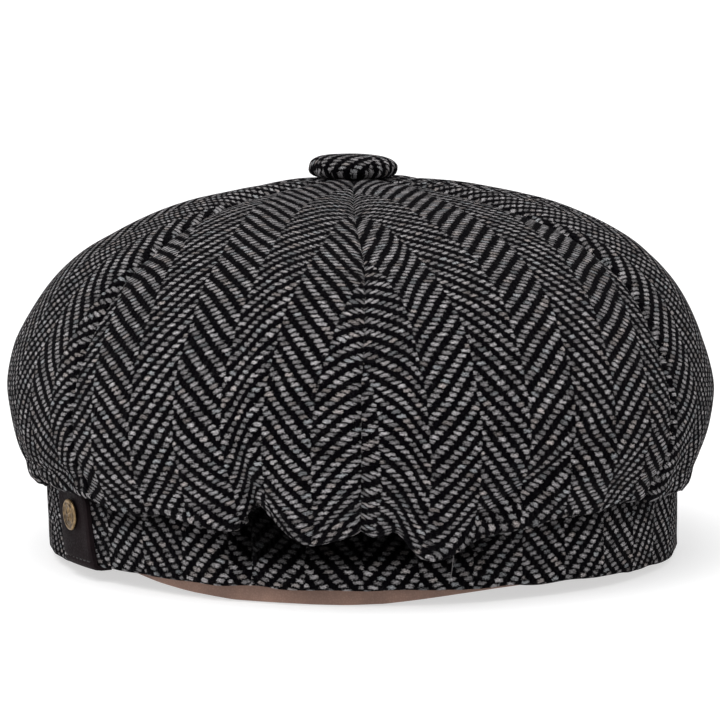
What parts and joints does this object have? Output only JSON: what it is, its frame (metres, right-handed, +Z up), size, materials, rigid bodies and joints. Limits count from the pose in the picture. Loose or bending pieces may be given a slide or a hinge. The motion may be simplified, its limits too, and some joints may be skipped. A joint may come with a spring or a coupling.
{
  "type": "newsboy cap",
  "caption": "Soft full-crowned cap of wedge panels in herringbone tweed, with a covered button, a turned-in headband, a stiff peak in front and a riveted leather side tab.",
  "frame": {"origin": "centre of the bounding box's underside, on the table the cap stands on", "axes": "+Z up, the peak points to -Y and the back of the head is +Y, the wearer's left is +X"},
  "size_m": [0.1908, 0.2805, 0.1079],
  "materials": {
    "tweed": "wool herringbone tweed in black and pale grey, slightly hairy",
    "lining_satin": "dark satin-weave lining with a soft sheen",
    "sweatband_leather": "fine-grained tan imitation leather",
    "tab_leather": "pebbled near-black brown leather, satin",
    "buckram": "stiff natural buckram",
    "peak_board_plastic": "flexible moulded peak board",
    "antique_brass": "antiqued dark brass with rubbed edges",
    "tinned_steel": "plain tinned pressing",
    "label_weave": "blank woven label"
  },
  "bodies": {
    "cap": {"crown_panel_1": "tweed", "crown_panel_2": "tweed", "crown_panel_3": "tweed", "crown_panel_4": "tweed", "crown_panel_5": "tweed", "crown_panel_6": "tweed", "crown_panel_7": "tweed", "crown_panel_8": "tweed", "lining_panel_1": "lining_satin", "lining_panel_2": "lining_satin", "lining_panel_3": "lining_satin", "lining_panel_4": "lining_satin", "lining_panel_5": "lining_satin", "lining_panel_6": "lining_satin", "lining_panel_7": "lining_satin", "lining_panel_8": "lining_satin", "band_outer": "tweed", "band_stiffener": "buckram", "sweatband": "sweatband_leather", "size_label": "label_weave", "side_tab": "tab_leather", "tab_rivet_cap": "antique_brass", "tab_rivet_back": "tinned_steel"},
    "peak": {"peak_top_cover": "tweed", "peak_under_cover": "tweed", "peak_board": "peak_board_plastic"},
    "button": {"button_cover": "tweed", "button_shell": "tinned_steel", "button_back": "tinned_steel", "button_stem": "tinned_steel", "button_washer": "tinned_steel"}
  },
  "joints": [
    {"name": "peak_tilt", "type": "hinge", "parent": "cap", "child": "peak", "pos_m": [0, -0.03191, 0.008], "axis": [-1, 0, 0], "range_deg": [-8, 10], "stiffness_Nm_per_rad": 1},
    {"name": "button_spin", "type": "hinge", "parent": "cap", "child": "button", "pos_m": [0.0021, 0.02009, 0.1015], "axis": [0, 0, 1], "continuous": true}
  ]
}
